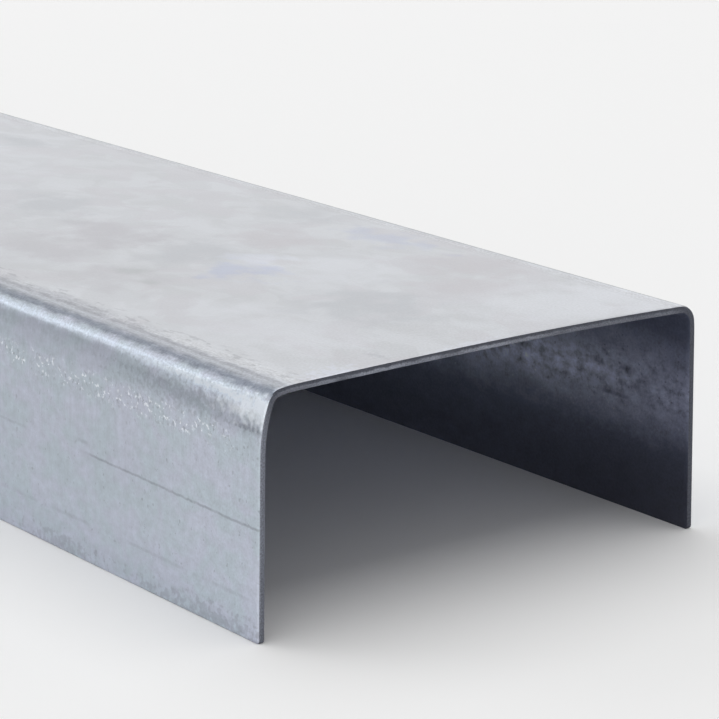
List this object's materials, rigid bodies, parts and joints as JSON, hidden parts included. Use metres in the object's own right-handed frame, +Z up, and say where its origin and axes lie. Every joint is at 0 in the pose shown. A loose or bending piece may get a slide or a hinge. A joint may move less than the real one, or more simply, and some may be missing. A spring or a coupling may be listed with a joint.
{
  "type": "galvanized steel channel",
  "caption": "Cold-formed U channel of zinc-coated sheet steel, with a wide flat web between square flanges, sheared square at the ends; frames, edges or guides studs, boards and panels.",
  "frame": {"origin": "on the floor, under the middle of the stock: mid-length, and midway between the two flanges", "axes": "+X along the length, towards the end that the picture shows; +Y across the web; +Z up, from the flange edges to the web"},
  "size_m": [1, 0.09, 0.04],
  "materials": {
    "galvanized_steel": "hot-dip zinc with a fine spangle, satin, with light handling scratches"
  },
  "bodies": {
    "root": {"channel": "galvanized_steel"}
  },
  "joints": []
}
